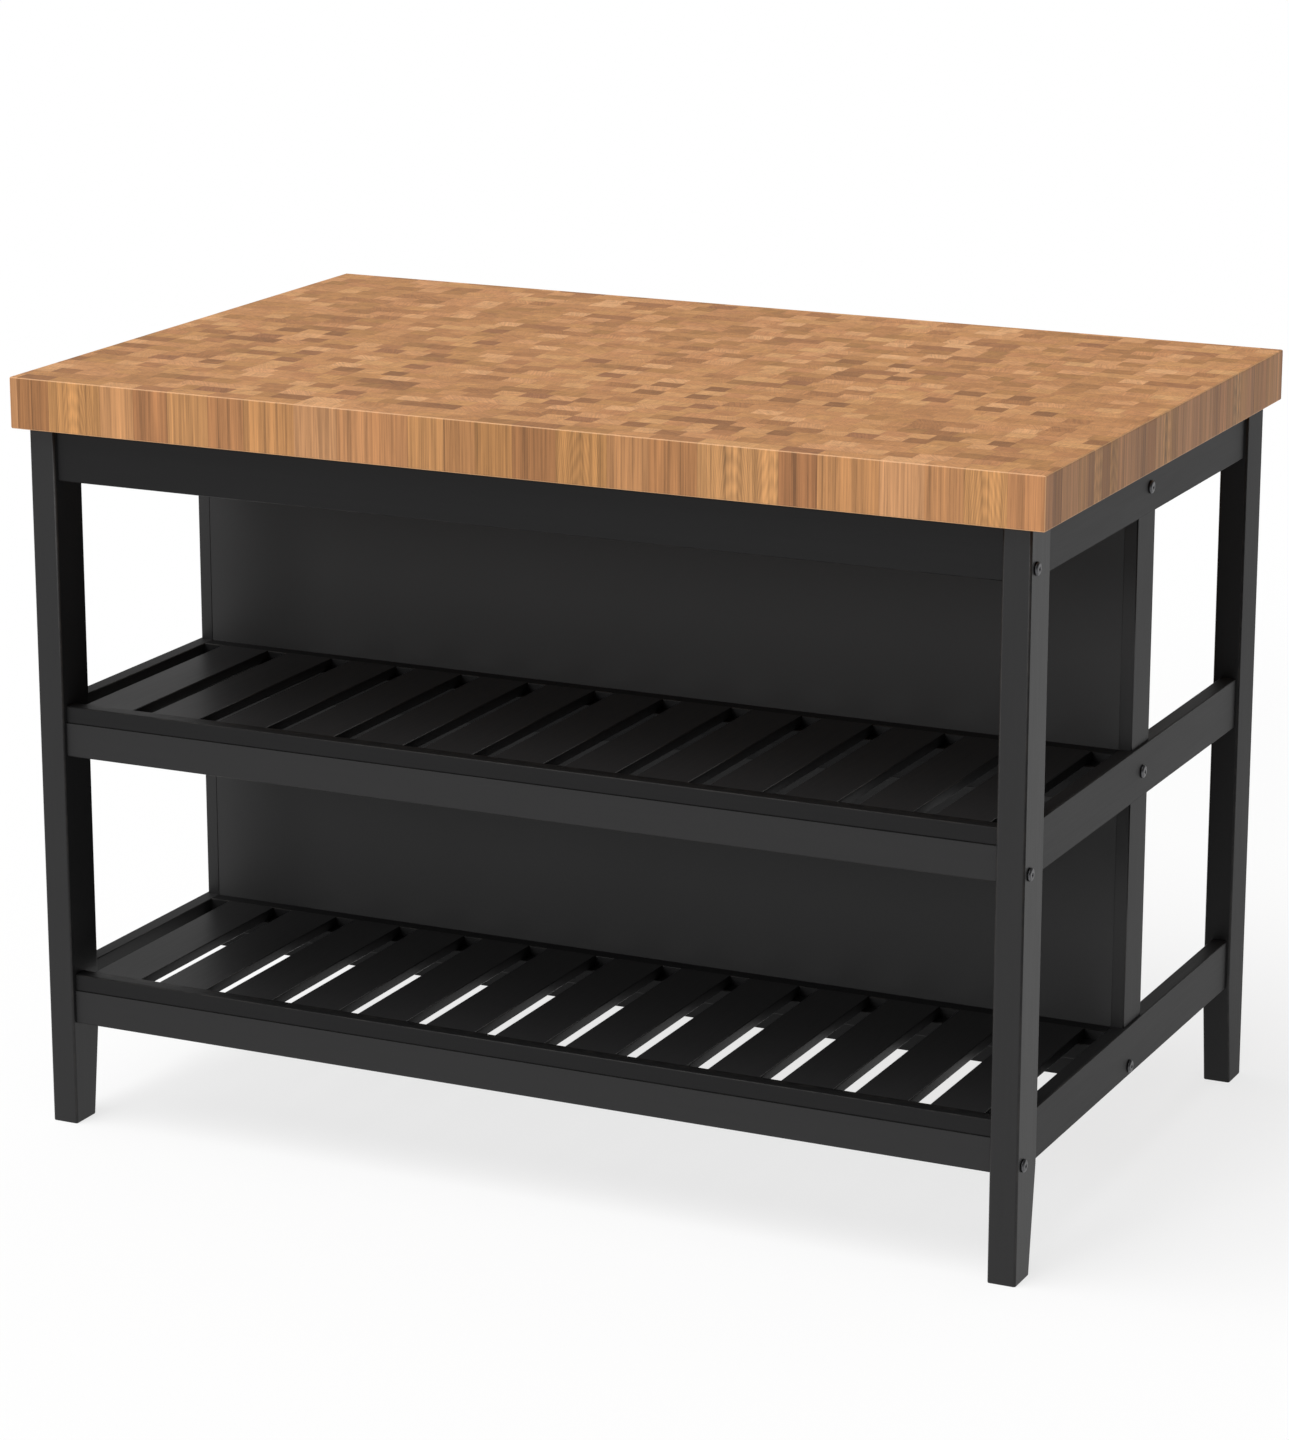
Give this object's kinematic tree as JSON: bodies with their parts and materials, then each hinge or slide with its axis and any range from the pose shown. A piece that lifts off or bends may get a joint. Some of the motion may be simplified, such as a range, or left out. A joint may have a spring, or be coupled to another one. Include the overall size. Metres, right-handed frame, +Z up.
{
  "type": "butcher block table",
  "caption": "Standing-height kitchen table: thick end-grain wood top on a black frame, two slatted shelves in front of a panel, and open knee space behind it.",
  "frame": {"origin": "on the floor, under the centre of the table", "axes": "+X along the table's width to the right seen from the shelf side, +Y from the shelf side to the knee-space side, +Z up"},
  "size_m": [1.26, 0.79, 0.9],
  "materials": {
    "butcher_block": "oiled end-grain blocks, satin",
    "black_frame": "black satin paint on solid wood",
    "black_panel": "smooth black satin lacquer",
    "black_slat": "black satin paint on solid wood",
    "black_bolt": "black oxide steel, satin",
    "zinc_steel": "zinc plated",
    "beech": "raw beech"
  },
  "bodies": {
    "root": {"worktop": "butcher_block", "leg_front_left": "black_frame", "leg_front_right": "black_frame", "leg_rear_left": "black_frame", "leg_rear_right": "black_frame", "side_rail_bottom_left": "black_frame", "side_rail_bottom_right": "black_frame", "side_rail_middle_left": "black_frame", "side_rail_middle_right": "black_frame", "side_rail_top_left": "black_frame", "side_rail_top_right": "black_frame", "stile_lower_left": "black_frame", "stile_lower_right": "black_frame", "stile_upper_left": "black_frame", "stile_upper_right": "black_frame", "front_rail_bottom": "black_frame", "front_rail_middle": "black_frame", "front_rail_top": "black_frame", "rear_rail_top": "black_frame", "panel_rail_middle": "black_frame", "panel_rail_top": "black_frame", "panel_sill": "black_frame", "panel_lower": "black_panel", "panel_upper": "black_panel", "shelf_edging_lower": "black_frame", "shelf_edging_upper": "black_frame", "shelf_back_rail_lower": "black_frame", "shelf_back_rail_upper": "black_frame", "lower_slat_01": "black_slat", "lower_slat_02": "black_slat", "lower_slat_03": "black_slat", "lower_slat_04": "black_slat", "lower_slat_05": "black_slat", "lower_slat_06": "black_slat", "lower_slat_07": "black_slat", "lower_slat_08": "black_slat", "lower_slat_09": "black_slat", "lower_slat_10": "black_slat", "lower_slat_11": "black_slat", "lower_slat_12": "black_slat", "lower_slat_13": "black_slat", "upper_slat_01": "black_slat", "upper_slat_02": "black_slat", "upper_slat_03": "black_slat", "upper_slat_04": "black_slat", "upper_slat_05": "black_slat", "upper_slat_06": "black_slat", "upper_slat_07": "black_slat", "upper_slat_08": "black_slat", "upper_slat_09": "black_slat", "upper_slat_10": "black_slat", "upper_slat_11": "black_slat", "upper_slat_12": "black_slat", "upper_slat_13": "black_slat", "slat_ledgers": "black_frame", "frame_bolts": "black_bolt", "barrel_nuts": "zinc_steel", "dowels": "beech", "wood_screws": "zinc_steel", "angle_brackets": "zinc_steel"}
  },
  "joints": []
}
